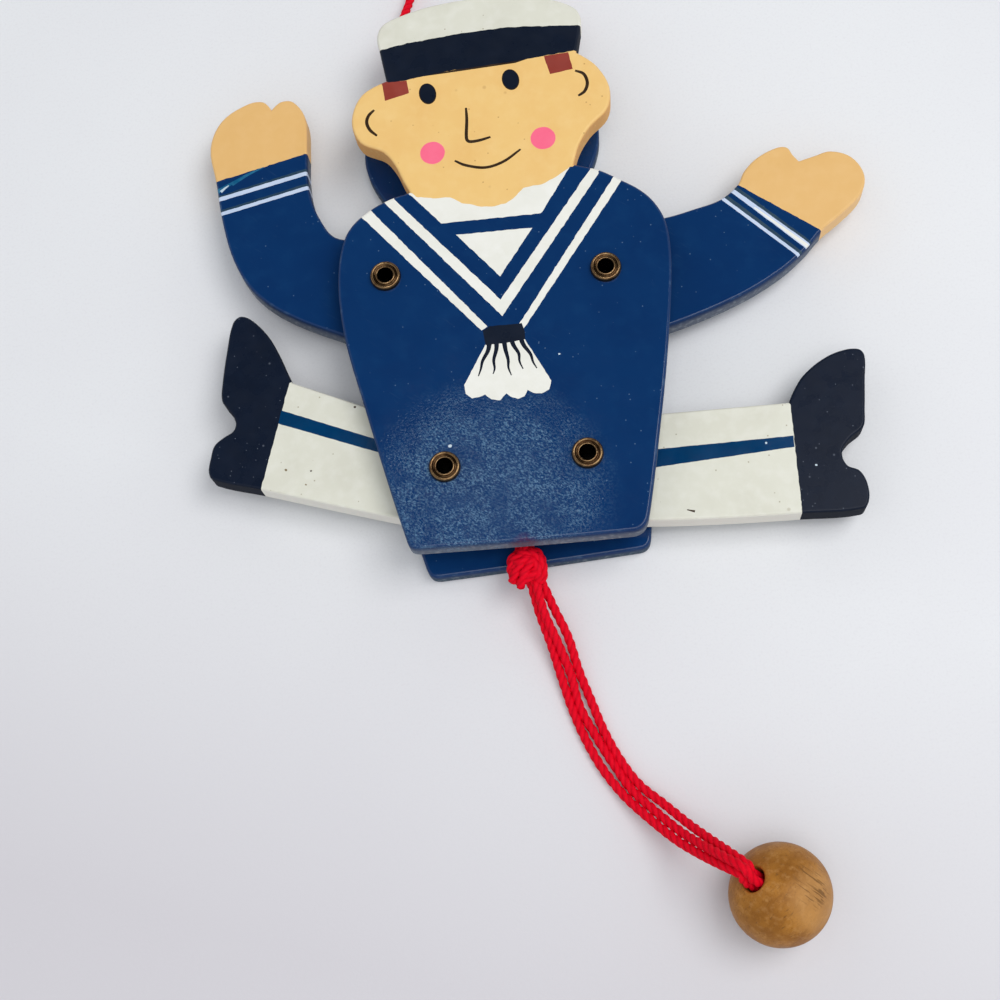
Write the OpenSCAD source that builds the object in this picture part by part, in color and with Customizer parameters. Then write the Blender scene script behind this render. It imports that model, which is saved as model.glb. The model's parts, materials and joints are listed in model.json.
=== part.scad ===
// Wooden pull-string figure of a sailor, lying on its back. Millimetres.
// X runs to the viewer's right, Y to the head and Z to the front, and left
// and right are the viewer's. The origin is on the flat back of the figure,
// on its middle line at the height of the hips.

/* [Figure] */
// Width across the shoulders
shoulder_w = 64; // [54:1:77]
// Height of head and body together, hat included
figure_h = 114; // [100:1:137]
// Turn of the back board against the front one, in degrees
back_turn = 1.6; // [0:0.2:2]

/* [Boards] */
// Thickness of the front board
front_t = 5; // [4:0.5:8]
// Thickness of the back board
back_t = 4; // [3:0.5:7]
// Thickness of the arms and legs
limb_t = 5; // [4:0.5:8]
// Free space in front of and behind the arms and legs
limb_play = 1; // [1:0.1:2]
// Rounding of the sanded edges
edge_r = 0.6; // [0.2:0.1:0.8]
// Rounding of the sawn corners, seen from the front
corner_r = 1.2; // [1:0.1:1.6]

/* [Eyelets] */
// Bore of the hollow eyelets
eyelet_bore = 3; // [2.4:0.1:3.6]
// Wall of the eyelet's barrel
eyelet_wall = 0.4; // [0.3:0.05:0.5]
// Diameter of the rolled rims
rim_d = 6; // [5.4:0.1:7.4]
// Thickness of the rolled rims
rim_t = 1.1; // [0.9:0.1:1.4]
// Gap round the barrel in a limb's hole, on the radius
pivot_gap = 0.08; // [0.03:0.01:0.1]

/* [Motion] */
// Whole swing of an arm or leg, in degrees
swing = 80; // [50:1:84]
// Part of the swing that is left from the rest pose to the full pull
pull_swing = 7; // [0:1:10]
// Gap round the twine in a lever slot
slot_gap = 0.5; // [0.45:0.05:0.6]

/* [Cords] */
// Diameter of the red cord
cord_d = 1.7; // [1.4:0.1:1.8]
// Diameter of the thin twine inside
twine_d = 0.7; // [0.5:0.05:0.8]
// Diameter of the knot under the body
pull_knot_d = 7.6; // [6.6:0.1:8]
// Diameter of the wooden ball
ball_d = 18; // [16:1:22]
// Diameter of the hole in the ball
ball_hole_d = 4.4; // [4.2:0.1:5]

/* [Hidden] */

navy = [0.07, 0.19, 0.37];
cream = [0.88, 0.88, 0.82];
brass = [0.45, 0.33, 0.18];
red = [0.85, 0.05, 0.1];
beech = [0.67, 0.5, 0.3];

// Both scales are 1 at the nominal width and height
wide = shoulder_w / 64;
tall = figure_h / 114;
both = [wide, tall];

// Heights of the layers
gap_z = back_t;
limb_z = gap_z + limb_play;
front_z = limb_z + limb_t + limb_play;
face_z = front_z + front_t;
mid_z = (gap_z + front_z) / 2;
gap = front_z - gap_z;

// Pivots, as the holes are drilled by hand
shoulder_left = [-21.6 * wide, 40 * tall];
shoulder_right = [20.5 * wide, 36.3 * tall];
hip_left = [-13.7 * wide, 0.3];
hip_right = [12.8 * wide, -0.3];
barrel_d = eyelet_bore + 2 * eyelet_wall;
pivot_d = barrel_d + 2 * pivot_gap;
// Gap round a rear rim in its sunk seat, on the radius
rim_fit = 0.1;

// The twine moves up and down in a slot of each limb: at mid swing its pin is
// level with the pivot, lever_x away
lever_x = 5.6 * wide;
lever_y = -lever_x * (1 - 2 * pull_swing / swing) * tan(swing / 2);
lever_out = lever_x / cos(swing / 2);
lever_turn = atan2(lever_y, lever_x);
// Knots that keep the twine's ends behind the limbs
end_knot_d = 2.8;
end_knot_t = 0.7;
twine_z = front_z - limb_play / 2;
end_knot_z = gap_z + limb_play / 2;

// The line of the pull, and the knots on it
pull_x = -0.9;
arm_knot_d = 5;
leg_knot_d = 2.6;
// Least gap between a knot and the board beside it
knot_gap = 0.1;
arm_knot = [pull_x, 28.5 * tall, front_z - arm_knot_d / 2 - knot_gap];
leg_knot = [pull_x, -8.5, front_z - leg_knot_d / 2 - 2 * knot_gap];
pull_knot_at = [pull_x, -18.6 * tall, mid_z];
pull_knot_t = min(6.6, gap - 4 * knot_gap);
strand_gap = 0.2;
strand_x = (cord_d + strand_gap) / 2;
// The arms' strands lie a little behind the middle, and the legs' strand in front of them
arm_pull_z = mid_z - 0.4;
leg_pull_z = arm_pull_z + cord_d + strand_gap;
// How far a cord's end goes into its knot
knot_bite = 0.6;

// The ball lies on the table; its hole looks up and back along the cord, and the
// hole's mouth has its place from the knot
ball_tilt = 50;
ball_turn = 151;
ball_dir = [cos(ball_tilt) * cos(ball_turn), cos(ball_tilt) * sin(ball_turn), sin(ball_tilt)];
mouth_from_knot = [32.6, -60.6];
mouth = [pull_knot_at[0] + mouth_from_knot[0], pull_knot_at[1] + mouth_from_knot[1],
  ball_d / 2 * (1 + ball_dir[2])];
ball_at = mouth - ball_d / 2 * ball_dir;
ball_knot_d = 5;
ball_knot_hole_d = 5.8;
// How far the knot lies beyond the ball's middle
ball_knot_depth = 5.2;

// Spacer glued between the boards behind the face
spacer = [24 * wide, 20 * tall];
spacer_y = 72 * tall;
spacer_hole_y = 76 * tall;
spacer_hole_d = cord_d + 0.6;
hanging_knot_d = 4.4;

// Outline of the front board, clockwise from the middle of the hat; it is sawn by hand, so that
// its two sides differ. A third value marks a corner
front_shape = [[0.8, 98.9], [9.8, 98.1], [17.2, 96.1], [21, 93.7], [22, 91.2], [21.5, 88.6], [20.2, 83.6, 1],
  [23.6, 80.4], [25.8, 75.2], [24.9, 70.3], [21, 66.7], [18.4, 63], [16.9, 59, 1],
  [21.6, 57.2], [25.6, 54.5], [29, 51.9], [31.4, 48.9], [33, 44.8], [33.3, 39.6], [32.6, 32.4], [30, 18],
  [27.2, 5.5], [22.7, -12.8], [21.4, -15.2], [19.2, -15.9],
  [-19.6, -14.6], [-21.4, -14.1], [-22.1, -12.3], [-24.9, 0.2], [-27.8, 14.4], [-30.2, 26.6], [-31, 36],
  [-30.6, 43.2], [-29.2, 48.7], [-27.2, 51.9], [-23.5, 54.7], [-19.4, 56.5], [-15.5, 57.4, 1],
  [-16.6, 60], [-18, 63.8], [-20, 66.8], [-24.4, 69.6], [-25.7, 74.8], [-23.2, 80.2], [-18.1, 82.6, 1],
  [-18.9, 89.3], [-19.2, 92.8], [-17.9, 95.4], [-14.6, 96.9], [-8, 98.4]];
// Half outline of the back board from the top down
back_shape = [[0, 95], [14, 94], [18.6, 88], [19.6, 82], [23.6, 76], [23.9, 70], [21.4, 63.5], [18, 58, 1],
  [24, 55], [29.6, 47], [30.6, 38], [29.2, 28], [25.4, 6], [21.6, -14.2], [20.6, -16.4], [18.4, -16.9]];

// Limbs in the rest pose, from their pivot, X outwards
arm_left_shape = [[10, 12.8], [12.6, 16.8], [14.2, 21.8], [14.6, 27.5], [14.2, 34], [14.2, 40.2],
  [16.4, 44.2], [19, 44.6], [21, 43, 1], [22.6, 45.1], [26, 45], [31.4, 41.8], [34, 36], [33.2, 28.2],
  [32.4, 19.5], [30.6, 10.7], [27.2, 3.6], [21.5, -1.9], [11.5, -7.6], [2, -11.2], [-7, -8.8],
  [-11.3, -1], [-9, 7.2], [-2, 11.4], [5, 11.6]];
arm_right_shape = [[12.9, 11.9], [19, 13], [24.2, 14.3], [28, 17], [29.6, 19.7], [32.5, 22.3], [36.6, 24],
  [38.7, 23.8], [39.6, 22], [40.6, 20.5, 1], [43.7, 21.2], [47, 21.8], [50.8, 20], [52.7, 15.8], [51.4, 11.9],
  [47, 8.1], [42.8, 5.2], [38.8, 1.4], [34, -2.1], [26.8, -5.8], [18, -8.9], [8, -11.4], [0, -12.2],
  [-8, -8.8], [-11.5, -1], [-9.2, 7.4], [-2, 11.6], [6, 11.8]];
leg_left_shape = [[9, 13.6], [16, 16.8], [28.4, 22.8, 1], [29.6, 26], [31.8, 31.9], [34.8, 36.2], [37.5, 38],
  [39.3, 36.8], [40.8, 31], [42, 24.6], [42.3, 20.9], [41, 18.6], [39.9, 16.2], [40.4, 14.4], [42.2, 13.4],
  [44.2, 11.9], [45.1, 9.4], [45.6, 6.6], [44.8, 5], [35.7, 1.9], [22, -2.9], [10, -7], [0, -10.2],
  [-7.6, -7], [-10.2, 0], [-7.2, 7.2], [0, 10.6]];
leg_right_shape = [[10, 8.4], [24, 7.9], [38.8, 7.4, 1], [39.9, 9.4], [42.2, 12.4], [46, 15.1], [49.8, 16.5],
  [53.3, 16.5], [54.3, 15], [53.6, 10.4], [52.6, 4.4], [51.8, 1], [48.9, -1.1], [47.1, -3.5], [47.6, -6.1],
  [49.7, -7.4], [50.7, -9.8], [50.6, -13], [49.2, -14.8], [38.4, -14.4], [24, -13.6], [10, -12.4], [0, -11],
  [-7.6, -7], [-10.2, 0], [-7, 6.8], [0, 8.8]];

// Middle of the three pull strands where they leave the knot, X, Y and Z from its middle; the
// fourth value is how far apart the strands lie, and the fifth how high the middle one rides
knot_path = [[1.5, -3.1, -0.7, 0.95, 1.5]];
// The same on the way to the ball, X and Y from the knot and Z from the table
pull_path = [[2.6, -8, 5.2, 1.2, 1.25], [4.4, -13.4, 3.1, 1.6, 0.75], [5.8, -19.4, 1.7, 1.8, 0.2],
  [7.2, -25.5, 1, 1.85, 0], [9, -31.3, 0.9, 1.85, 0], [11.4, -36.8, 0.95, 1.85, 0],
  [14.6, -41.9, 1.6, 1.85, 0], [18.5, -46.5, 3.5, 1.85, 0], [22.3, -50.7, 6.6, 1.8, 0.1],
  [25.5, -53.8, 10.6, 1.6, 0.7]];
// The same before the ball, X, Y and Z from the mouth of its hole
mouth_path = [[-4, 4, -1, 1.3, 1.15], [-1.3, 1.7, 1.6, 1, 1.5]];
// Where the strands are drawn together: how far apart they lie, how high the middle one rides
drawn_in = [0.95, 1.5];
// How far out of the hole's mouth, and how deep below it, the strands run along the hole
hole_run = [0.6, 3];

// The hanging cord from its knot down the left side; the right side mirrors it
hanging_path = [[-1.4, 146.6, 1.7], [-5.6, 142.6, 0.9], [-8.7, 136.6, 0.9], [-10.2, 129.8, 0.9],
  [-10.8, 122.8, 0.9], [-11.4, 116, 1.2], [-12.6, 109.4, 2.8], [-14.4, 103, 5.3], [-15.5, 96.6, mid_z],
  [-15.7, 89.6, mid_z], [-15.5, 83, mid_z], [-14.8, 78.6, mid_z], [-13.4, 76.2, mid_z],
  [-10.6, 76, mid_z], [-5, 76, mid_z], [0, 76, mid_z]];

// A closed curve through the points of an outline, which runs clockwise
function place(p, i) = let(q = p[(i + len(p)) % len(p)]) [q[0], q[1]];
function corner(p, i) = len(p[(i + len(p)) % len(p)]) > 2;
function unit(v) = v / norm(v);
function heading(p, i) = corner(p, i) ? [0, 0] : unit(place(p, i + 1) - place(p, i - 1));
function bend(a, b, from, to, t) =
  (2 * t ^ 3 - 3 * t ^ 2 + 1) * a + (t ^ 3 - 2 * t ^ 2 + t) * from
  + (3 * t ^ 2 - 2 * t ^ 3) * b + (t ^ 3 - t ^ 2) * to;
function curve(p, steps = 5) = [
  for (i = [0:len(p) - 1])
    let(a = place(p, i), b = place(p, i + 1), n = corner(p, i) && corner(p, i + 1) ? 1 : steps)
      for (j = [0:n - 1])
        bend(a, b, norm(b - a) * heading(p, i), norm(b - a) * heading(p, i + 1), j / n)];
// The corners that stick out are rounded first, and the notches stay sharp
function sticks_out(p, i) = corner(p, i)
  && cross(place(p, i) - place(p, i - 1), place(p, i + 1) - place(p, i)) < 0;
function towards(p, i, j) = place(p, i) + corner_r * unit(place(p, j) - place(p, i));
function softened(p) = [for (i = [0:len(p) - 1])
  each sticks_out(p, i) ? [towards(p, i, i - 1), towards(p, i, i + 1)] : [p[i]]];
function sized(p, k) = [for (q = p) len(q) > 2 ? [q[0] * k[0], q[1] * k[1], 1] : [q[0] * k[0], q[1] * k[1]]];
function other_side(p) = [for (i = [len(p) - 1:-1:0]) if (p[i][0] > 0) sized([p[i]], [-1, 1])[0]];
function whole(p) = concat(p, other_side(p));

// A cord: one tube swept along its points, with rings square to the path
cord_sides = 8;
function ahead(p, i) = unit(p[min(i + 1, len(p) - 1)] - p[max(i - 1, 0)]);
function ring(p, i, d, side) =
  let(t = ahead(p, i), flat = unit(cross(side, t)), up = cross(t, flat))
    [for (k = [0:cord_sides - 1])
      let(a = (k + 0.5) * 360 / cord_sides) p[i] + d / 2 * (cos(a) * flat + sin(a) * up)];
function between(k) = [for (s = [0:cord_sides - 1])
  let(a = k * cord_sides + s, b = k * cord_sides + (s + 1) % cord_sides)
    for (f = [[a, b, a + cord_sides], [b, b + cord_sides, a + cord_sides]]) f];

module tube(p, d, side = [0, 0, 1]) {
  rings = [for (i = [0:len(p) - 1]) each ring(p, i, d, side)];
  last = (len(p) - 1) * cord_sides;
  polyhedron(
    points = rings,
    faces = concat(
      [[for (k = [cord_sides - 1:-1:0]) k]],
      [for (k = [0:len(p) - 2]) each between(k)],
      [[for (k = [0:cord_sides - 1]) last + k]]));
}

// A straight round rod between two points
module rod(a, b, d) {
  v = b - a;
  translate(a) rotate([0, acos(v[2] / norm(v)), atan2(v[1], v[0])]) cylinder(d = d, h = norm(v), $fn = 24);
}

// The outline of a board, drawn in by depth
function inward(v) = [v[1], -v[0]] / norm(v);
function drawn(c, depth) = [for (i = [0:len(c) - 1])
  let(n = len(c), a = inward(c[i] - c[(i + n - 1) % n]), b = inward(c[(i + 1) % n] - c[i]))
    c[i] + depth * (a + b) / (1 + a * b)];

// A flat outline cut into triangles: one ear after another is cut off, until three points are left
function beside(a, b, q) = cross(b - a, q - a) < 1e-9;
function covers(p, tri, q) =
  beside(p[tri[0]], p[tri[1]], q) && beside(p[tri[1]], p[tri[2]], q) && beside(p[tri[2]], p[tri[0]], q);
function is_ear(p, tri, left) = cross(p[tri[1]] - p[tri[0]], p[tri[2]] - p[tri[1]]) < 0
  && len([for (i = left) if (i != tri[0] && i != tri[1] && i != tri[2] && covers(p, tri, p[i])) i]) == 0;
function ears(p, left, k = 0, cut = []) =
  let(n = len(left), tri = [left[(k + n - 1) % n], left[k % n], left[(k + 1) % n]])
    n == 3 ? concat(cut, [left])
    : is_ear(p, tri, left) ? ears(p, [for (i = left) if (i != tri[1]) i], k + 1, concat(cut, [tri]))
    : ears(p, left, k + 1, cut);

// A board between the heights z and z + t, with its edges rounded
module board(outline, z, t) {
  edge_steps = 2;
  n = len(outline);
  arc = [for (k = [0:edge_steps])
    let(a = 90 * k / edge_steps) edge_r * [1 - sin(a), 1 - cos(a)]];
  // Each ring has its depth in the outline and its height
  rings = concat([for (q = arc) [q[0], z + q[1]]],
    [for (k = [edge_steps:-1:0]) [arc[k][0], z + t - arc[k][1]]]);
  last = (len(rings) - 1) * n;
  flat = ears(drawn(outline, edge_r), [for (k = [0:n - 1]) k]);
  polyhedron(
    points = [for (r = rings) each [for (q = drawn(outline, r[0])) [q[0], q[1], r[1]]]],
    faces = concat(
      [for (f = flat) [f[2], f[1], f[0]]],
      [for (j = [0:len(rings) - 2]) for (k = [0:n - 1])
        let(a = j * n + k, b = j * n + (k + 1) % n) [a, b, b + n, a + n]],
      [for (f = flat) [last + f[0], last + f[1], last + f[2]]]));
}

module pivot_holes(z, t, d) {
  for (p = [shoulder_left, shoulder_right, hip_left, hip_right])
    translate([p[0], p[1], z - 1]) cylinder(d = d, h = t + 2, $fn = 48);
}

module rim_sinks() {
  for (p = [shoulder_left, shoulder_right, hip_left, hip_right])
    translate([p[0], p[1], -1]) cylinder(d = rim_d + 2 * rim_fit, h = 1 + rim_t, $fn = 64);
}

module front_board() color(navy) difference() {
  board(curve(softened(sized(front_shape, both))), front_z, front_t);
  pivot_holes(front_z, front_t, barrel_d);
}

// The back board is sunk round the eyelets, so that the figure lies flat
module back_board() color(navy) difference() {
  translate([0, 40 * tall]) rotate(back_turn) translate([0, -40 * tall])
    board(curve(softened(sized(whole(back_shape), both))), 0, back_t);
  pivot_holes(0, back_t, barrel_d);
  rim_sinks();
}

module head_spacer() color(beech) difference() {
  translate([-spacer[0] / 2, spacer_y - spacer[1] / 2, gap_z]) cube([spacer[0], spacer[1], gap]);
  translate([-spacer[0] / 2 - 1, spacer_hole_y, mid_z]) rotate([0, 90, 0])
    cylinder(d = spacer_hole_d, h = spacer[0] + 2, $fn = 32);
}

// A hollow eyelet: the barrel goes through both boards, with a rolled rim on each face
module rim_profile() {
  r = rim_t / 2;
  translate([eyelet_bore / 2 + r, 0]) square([rim_d / 2 - eyelet_bore / 2 - rim_t, rim_t]);
  for (x = [eyelet_bore / 2 + r, rim_d / 2 - r]) translate([x, r]) circle(r, $fn = 32);
}

module eyelet(at) color(brass) translate([at[0], at[1]]) rotate_extrude($fn = 64) {
  rim_profile();
  translate([0, face_z]) rim_profile();
  translate([eyelet_bore / 2, rim_t / 2]) square([eyelet_wall, face_z]);
}

// A limb lies in the middle layer, with a hole on its eyelet and a slot for the twine
module limb(shape, at, side) difference() {
  translate([at[0], at[1]]) mirror([side > 0 ? 0 : 1, 0, 0])
    board(curve(softened(sized(shape, both))), limb_z, limb_t);
  translate([at[0], at[1], limb_z - 1]) cylinder(d = pivot_d, h = limb_t + 2, $fn = 48);
  lever_slot(at, side);
}

module lever_slot(at, side) {
  slot_d = twine_d + 2 * slot_gap;
  translate([at[0], at[1], limb_z - 1]) rotate(side > 0 ? 180 - lever_turn : lever_turn) {
    for (x = [lever_x, lever_out]) translate([x, 0]) cylinder(d = slot_d, h = limb_t + 2, $fn = 32);
    translate([lever_x, -slot_d / 2]) cube([lever_out - lever_x, slot_d, limb_t + 2]);
  }
}

module arm_left() color(navy) limb(arm_left_shape, shoulder_left, -1);
module arm_right() color(navy) limb(arm_right_shape, shoulder_right, 1);
module leg_left() color(cream) limb(leg_left_shape, hip_left, -1);
module leg_right() color(cream) limb(leg_right_shape, hip_right, 1);

// Twine between two limbs: it lies in front of them, and each end goes back through a slot
function pin(at, side) = [at[0] - side * lever_x, at[1] + lever_y];

function link_end(at, knot) = let(v = unit([knot[0] - at[0], knot[1] - at[1]]))
  [for (q = [[0, end_knot_z], [0, twine_z - twine_d], [0.1 * twine_d, twine_z - 0.4 * twine_d],
    [0.4 * twine_d, twine_z - 0.1 * twine_d], [twine_d, twine_z]])
      [at[0] + q[0] * v[0], at[1] + q[0] * v[1], q[1]]];

module link_cord(left, right, knot) {
  rise = link_end(pin(left, -1), knot);
  fall = link_end(pin(right, 1), knot);
  middle = [[knot[0], knot[1], twine_z]];
  tube(concat(rise, middle, [for (i = [len(fall) - 1:-1:0]) fall[i]]), twine_d, [0, 1, 0]);
}

module end_knots(left, right) {
  for (p = [pin(left, -1), pin(right, 1)])
    translate([p[0], p[1], end_knot_z - end_knot_t / 2]) cylinder(d = end_knot_d, h = end_knot_t, $fn = 32);
}

module arm_link_cord() color(cream) link_cord(shoulder_left, shoulder_right, arm_knot);
module leg_link_cord() color(cream) link_cord(hip_left, hip_right, leg_knot);
module arm_end_knots() color(cream) end_knots(shoulder_left, shoulder_right);
module leg_end_knots() color(cream) end_knots(hip_left, hip_right);
module arm_link_knot() color(red) translate(arm_knot) sphere(d = arm_knot_d, $fn = 48);
module leg_link_knot() color(red) translate(leg_knot) sphere(d = leg_knot_d, $fn = 48);

// Two strands pull the arms and one pulls the legs
module arm_pull_cord() color(red)
  for (x = [-strand_x, strand_x])
    rod([pull_x + x, pull_knot_at[1] + pull_knot_d / 2 - knot_bite, arm_pull_z],
      [pull_x + x, arm_knot[1] - arm_knot_d / 2 + knot_bite, arm_pull_z], cord_d);

module leg_pull_cord() color(red)
  rod([pull_x, pull_knot_at[1] + pull_knot_d / 2 - 2 * knot_bite, leg_pull_z],
    [pull_x, leg_knot[1] - leg_knot_d / 2 + knot_bite, leg_pull_z], cord_d);

module pull_knot() color(red) translate(pull_knot_at) intersection() {
  sphere(d = pull_knot_d, $fn = 64);
  cube([pull_knot_d, pull_knot_d, pull_knot_t], center = true);
}

// The three strands lie side by side on the table and close up at the knot and at the ball
function down_hole(r) = concat(ball_at + r * ball_dir, drawn_in);
function from_point(c, path) = [for (q = path) [c[0] + q[0], c[1] + q[1], c[2] + q[2], q[3], q[4]]];
function strand_points() = concat(
  from_point(pull_knot_at, knot_path),
  from_point([pull_knot_at[0], pull_knot_at[1], 0], pull_path),
  from_point(mouth, mouth_path),
  [down_hole(ball_d / 2 + hole_run[0]), down_hole(ball_d / 2 - hole_run[1]),
    down_hole(ball_knot_d / 2 - ball_knot_depth - knot_bite)]);
function strand(side) = let(p = strand_points(), middle = [for (q = p) [q[0], q[1], q[2]]]) [
  for (i = [0:len(p) - 1])
    let(t = ahead(middle, i), across = unit(cross([0, 0, 1], t)), up = cross(t, across), w = p[i][3])
      middle[i] + side * w * across + (side == 0 ? 2 / 3 : -1 / 3) * p[i][4] * up];

module pull_strand_left() color(red) tube(strand(-1), cord_d);
module pull_strand_middle() color(red) tube(strand(0), cord_d);
module pull_strand_right() color(red) tube(strand(1), cord_d);

// The ball's hole is wider at its far end, where the knot sits
module ball() color(beech) translate(ball_at) rotate([0, 90 - ball_tilt, ball_turn])
  rotate_extrude($fn = 96) difference() {
    circle(d = ball_d, $fn = 96);
    translate([-ball_d, -ball_d]) square([ball_d + ball_hole_d / 2, 2 * ball_d]);
    translate([0, -ball_d]) square([ball_knot_hole_d / 2, ball_d - ball_knot_depth + ball_knot_d / 2]);
  }

module ball_knot() color(red)
  translate(ball_at - ball_knot_depth * ball_dir) sphere(d = ball_knot_d, $fn = 48);

function hanging_points() = let(left = [for (q = hanging_path) [q[0] * wide, q[1] * tall, q[2]]])
  concat(left, [for (i = [len(left) - 2:-1:0]) [-left[i][0], left[i][1], left[i][2]]]);
module hanging_cord() color(red) tube(hanging_points(), cord_d);
module hanging_knot() color(red)
  translate([0, 147 * tall, hanging_knot_d / 2]) sphere(d = hanging_knot_d, $fn = 48);

front_board();
back_board();
head_spacer();
eyelet(shoulder_left);  // shoulder_eyelet_left
eyelet(shoulder_right);  // shoulder_eyelet_right
eyelet(hip_left);  // hip_eyelet_left
eyelet(hip_right);  // hip_eyelet_right
arm_left();
arm_right();
leg_left();
leg_right();
arm_link_cord();
arm_link_knot();
arm_end_knots();
leg_link_cord();
leg_link_knot();
leg_end_knots();
arm_pull_cord();
leg_pull_cord();
pull_knot();
pull_strand_left();
pull_strand_middle();
pull_strand_right();
ball();
ball_knot();
hanging_cord();
hanging_knot();
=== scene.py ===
# A painted wooden pull-string sailor, lying on a pale table. Blender works in metres, as
# the frame does, but the places and sizes of paint and cord are given here in millimetres.
import json
import math

import bmesh
import bpy
import numpy as np
from mathutils import Matrix, Vector, geometry, noise


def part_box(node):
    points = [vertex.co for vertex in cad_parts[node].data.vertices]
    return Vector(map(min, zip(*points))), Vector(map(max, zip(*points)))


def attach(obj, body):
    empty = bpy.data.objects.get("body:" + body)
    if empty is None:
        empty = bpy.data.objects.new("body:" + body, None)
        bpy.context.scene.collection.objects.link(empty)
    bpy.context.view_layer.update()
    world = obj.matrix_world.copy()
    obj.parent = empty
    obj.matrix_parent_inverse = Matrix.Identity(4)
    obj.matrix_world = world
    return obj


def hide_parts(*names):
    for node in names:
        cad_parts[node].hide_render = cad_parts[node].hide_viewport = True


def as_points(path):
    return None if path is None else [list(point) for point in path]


MM = 0.001

# The waver of painted edges is the same on each run
noise.seed_set(4)

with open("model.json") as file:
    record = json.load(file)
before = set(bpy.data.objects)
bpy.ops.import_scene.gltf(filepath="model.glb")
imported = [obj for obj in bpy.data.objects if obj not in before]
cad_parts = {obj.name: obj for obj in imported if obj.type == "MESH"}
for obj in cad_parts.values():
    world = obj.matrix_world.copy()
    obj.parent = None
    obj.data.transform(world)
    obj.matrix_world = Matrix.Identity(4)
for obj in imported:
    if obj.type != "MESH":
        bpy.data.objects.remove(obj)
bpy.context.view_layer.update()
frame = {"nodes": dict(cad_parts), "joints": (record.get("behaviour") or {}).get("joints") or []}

# Heights of the layers and the pivots, from the frame
FACE_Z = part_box("front_board")[1].z / MM
PIVOTS = {
    joint["name"].replace("_swing", ""): Vector(joint["pos_m"]) / MM
    for joint in frame["joints"] if "pos_m" in joint
}
SIDES = {"arm_left": -1, "arm_right": 1, "leg_left": -1, "leg_right": 1}

# Dull sawn walls, and the mark of paint that goes on round a board's edge
WALL_ROUGHNESS = 0.8
WRAPS = True

# The cords' routes, as in the construction
CORD_D = 1.7
LAY_PITCH = 5.4
TWINE_LAY = {"diameter": 0.7, "pitch": 2.2, "step": 0.2, "sides": 15}
PULL_X = -0.9
LEVER = (5.6, -3.88)
PULL_KNOT = Vector((-0.9, -18.6, 7.5))
BALL_D = 18
BALL_HOLE_D = 4.4
BALL_TILT = math.radians(50)
BALL_TURN = math.radians(151)
BALL_DIR = Vector((
    math.cos(BALL_TILT) * math.cos(BALL_TURN),
    math.cos(BALL_TILT) * math.sin(BALL_TURN),
    math.sin(BALL_TILT)))
MOUTH_FROM_KNOT = (32.6, -60.6)
MOUTH = Vector((
    PULL_KNOT.x + MOUTH_FROM_KNOT[0], PULL_KNOT.y + MOUTH_FROM_KNOT[1], BALL_D / 2 * (1 + BALL_DIR.z)))
BALL_AT = MOUTH - BALL_D / 2 * BALL_DIR
BALL_KNOT_D = 5
BALL_KNOT_DEPTH = 5.2
KNOT_BITE = 0.6
# X, Y, Z, how far apart the strands lie and how high the middle one rides: from the knot's middle, from the
# table below the knot, and from the ball's mouth
KNOT_PATH = [(1.5, -3.1, -0.7, 0.95, 1.5)]
PULL_PATH = [
    (2.6, -8, 5.2, 1.2, 1.25), (4.4, -13.4, 3.1, 1.6, 0.75), (5.8, -19.4, 1.7, 1.8, 0.2),
    (7.2, -25.5, 1, 1.85, 0), (9, -31.3, 0.9, 1.85, 0), (11.4, -36.8, 0.95, 1.85, 0),
    (14.6, -41.9, 1.6, 1.85, 0), (18.5, -46.5, 3.5, 1.85, 0), (22.3, -50.7, 6.6, 1.8, 0.1),
    (25.5, -53.8, 10.6, 1.6, 0.7)]
MOUTH_PATH = [(-4, 4, -1, 1.3, 1.15), (-1.3, 1.7, 1.6, 1, 1.5)]
# In the ball: how the strands lie, and how far before and past its surface they run straight
DRAWN_IN = (0.95, 1.5)
HOLE_RUN = (0.6, 3)
BALL_KNOT_END = BALL_KNOT_D / 2 - KNOT_BITE - BALL_KNOT_DEPTH
# How far to the right two strands stray, at each point from the knot to the ball
DRIFT = {
    "left": [0] * 17,
    "middle": (0, -0.1, -0.4, -0.35, 0, -0.4, 0.1, 0.3, -0.1, -0.15, -0.15, -0.1, 0, 0, 0, 0, 0),
    "right": (0, 0.1, 0.45, 0.25, -0.15, 0.1, 0, -0.1, -0.3, 0, 0, 0, 0, 0, 0, 0, 0)}
MID_Z = 7.5
HANGING_PATH = [
    (-1.4, 146.6, 1.7), (-5.6, 142.6, 0.9), (-8.7, 136.6, 0.9), (-10.2, 129.8, 0.9),
    (-10.8, 122.8, 0.9), (-11.4, 116, 1.2), (-12.6, 109.4, 2.8), (-14.4, 103, 5.3), (-15.5, 96.6, MID_Z),
    (-15.7, 89.6, MID_Z), (-15.5, 83, MID_Z), (-14.8, 78.6, MID_Z), (-13.4, 76.2, MID_Z),
    (-10.6, 76, MID_Z), (-5, 76, MID_Z), (0, 76, MID_Z)]
HANGING_KNOT = Vector((0, 147, 2.2))
# The twine's height across the body, and behind the limbs where it ends
TWINE_Z = 10.5
TWINE_END_Z = 4.5


def linked(name, data):
    """A new object in the scene."""
    made = bpy.data.objects.new(name, data)
    bpy.context.scene.collection.objects.link(made)
    return made


def camera():
    """The photograph's viewpoint, nearly straight above the figure's chest."""
    eye = Vector((8.2, -95.1, 303.5))
    roll, tilt, turn = (math.radians(a) for a in (14.36, -17.15, -8.02))
    to_camera = Matrix.Rotation(roll, 3, "Z") @ Matrix.Rotation(tilt, 3, "X") @ Matrix.Rotation(turn, 3, "Z")
    data = bpy.data.cameras.new("camera")
    data.sensor_width = 36
    data.lens = 59.04
    data.clip_start = 0.01
    made = linked("camera", data)
    made.matrix_world = Matrix.Translation(eye * MM) @ to_camera.transposed().to_4x4()
    bpy.context.scene.camera = made


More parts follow.
